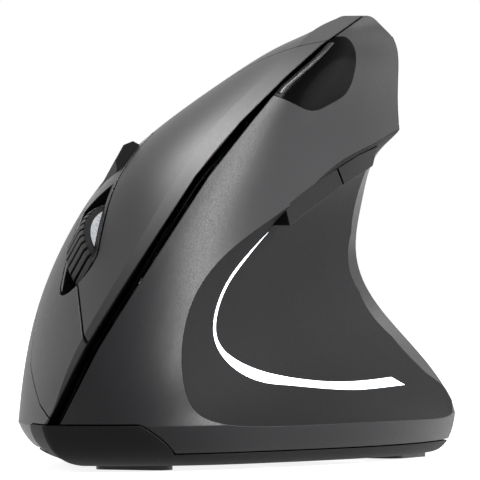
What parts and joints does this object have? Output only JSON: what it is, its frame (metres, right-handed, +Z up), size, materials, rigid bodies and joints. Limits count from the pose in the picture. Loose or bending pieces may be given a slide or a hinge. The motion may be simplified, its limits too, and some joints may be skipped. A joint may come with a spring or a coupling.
{
  "type": "vertical computer mouse",
  "caption": "Right-handed vertical computer mouse with a leaning fin body, thumb scoop, glossy ridge stripe, ribbed scroll wheel and side keys.",
  "frame": {"origin": "middle of the footprint box on the desk, under the glide feet", "axes": "+Z up from the desk, -Y towards the nose, +X towards the thumb side, -X towards the finger side"},
  "size_m": [0.0616, 0.1188, 0.0751],
  "materials": {
    "black_shell": "fine satin texture, moulded",
    "finger_black": "soft satin paint over moulded plastic",
    "gloss_black": "polished injection moulding",
    "light_diffuser": "milky light guide, moulded",
    "inner_plastic": "plain moulding",
    "circuit_board": "solder-resist on glass fibre",
    "switch_plastic": "plain moulding",
    "lens_clear": "clear moulded lens",
    "cell_jacket": "printed-free cell jacket",
    "contact_metal": "nickel-plated spring steel",
    "screw_steel": "zinc-plated steel",
    "foot_ptfe": "low-friction glide sheet",
    "plunger_red": "small moulding",
    "tyre_rubber": "moulded ribbed rubber",
    "silver_trim": "bright plated plastic",
    "key_plastic": "polished moulding"
  },
  "bodies": {
    "case": {"bottom_case": "black_shell", "thumb_shell": "black_shell", "palm_shell": "finger_black", "wheel_bezel": "gloss_black", "accent_spine": "gloss_black", "window_panel": "gloss_black", "light_guide": "light_diffuser", "inner_frame": "inner_plastic", "button_board": "circuit_board", "left_switch": "switch_plastic", "right_switch": "switch_plastic", "wheel_switch": "switch_plastic", "dpi_switch": "switch_plastic", "main_board": "circuit_board", "sensor_chip": "switch_plastic", "sensor_lens": "lens_clear", "power_switch": "switch_plastic", "front_cell": "cell_jacket", "back_cell": "cell_jacket", "battery_contacts": "contact_metal", "case_screws": "screw_steel", "front_foot": "foot_ptfe", "rear_feet": "foot_ptfe"},
    "left_button": {"left_button": "finger_black", "left_plunger": "plunger_red"},
    "right_button": {"right_button": "finger_black", "right_plunger": "plunger_red"},
    "wheel_cradle": {"wheel_carrier": "inner_plastic", "wheel_encoder": "switch_plastic", "wheel_plunger": "plunger_red"},
    "scroll_wheel": {"scroll_tyre": "tyre_rubber", "scroll_hub": "silver_trim"},
    "dpi_rocker": {"dpi_button": "key_plastic", "dpi_plunger": "plunger_red"},
    "forward_key": {"forward_button": "key_plastic"},
    "back_key": {"back_button": "key_plastic"},
    "power_knob": {"power_slider": "key_plastic"},
    "battery_lid": {"battery_door": "black_shell"},
    "receiver": {"receiver_cap": "gloss_black", "receiver_plug": "contact_metal"}
  },
  "joints": [
    {"name": "left_click", "type": "hinge", "parent": "case", "child": "left_button", "pos_m": [-0.00711, 0.01295, 0.05753], "axis": [0.604, -0.3889, 0.6956], "range_deg": [0, 0.67], "stiffness_Nm_per_rad": 0.6, "springref_deg": -1.15},
    {"name": "right_click", "type": "hinge", "parent": "case", "child": "right_button", "pos_m": [-0.00872, 0.00256, 0.05311], "axis": [0.604, -0.3889, 0.6956], "range_deg": [0, 0.67], "stiffness_Nm_per_rad": 0.6, "springref_deg": -1.15},
    {"name": "wheel_click", "type": "hinge", "parent": "case", "child": "wheel_cradle", "pos_m": [-0.00412, -0.0129, 0.04047], "axis": [0.604, -0.3889, 0.6956], "range_deg": [0, 0.9], "stiffness_Nm_per_rad": 0.4, "springref_deg": -1.15},
    {"name": "wheel_spin", "type": "hinge", "parent": "wheel_cradle", "child": "scroll_wheel", "pos_m": [-0.00321, -0.02378, 0.0336], "axis": [0.604, -0.3889, 0.6956], "continuous": true},
    {"name": "dpi_click", "type": "slide", "parent": "case", "child": "dpi_rocker", "axis": [0.7938, 0.3709, -0.4819], "range_m": [0, 0.0003], "stiffness_N_per_m": 400, "springref_m": -0.0005},
    {"name": "forward_click", "type": "slide", "parent": "case", "child": "forward_key", "axis": [-1, 0, 0], "range_m": [0, 0.0005], "stiffness_N_per_m": 400, "springref_m": -0.0005},
    {"name": "back_click", "type": "slide", "parent": "case", "child": "back_key", "axis": [-1, 0, 0], "range_m": [0, 0.0005], "stiffness_N_per_m": 400, "springref_m": -0.0005},
    {"name": "power_slide", "type": "slide", "parent": "case", "child": "power_knob", "axis": [0, 1, 0], "range_m": [0, 0.003]},
    {"name": "lid_open", "type": "hinge", "parent": "case", "child": "battery_lid", "pos_m": [-0.00185, -0.00589, 0.0009], "axis": [-1, 0, 0], "range_deg": [0, 60]},
    {"name": "receiver_pull", "type": "slide", "parent": "case", "child": "receiver", "axis": [0, 0, -1], "range_m": [0, 0.008]}
  ]
}
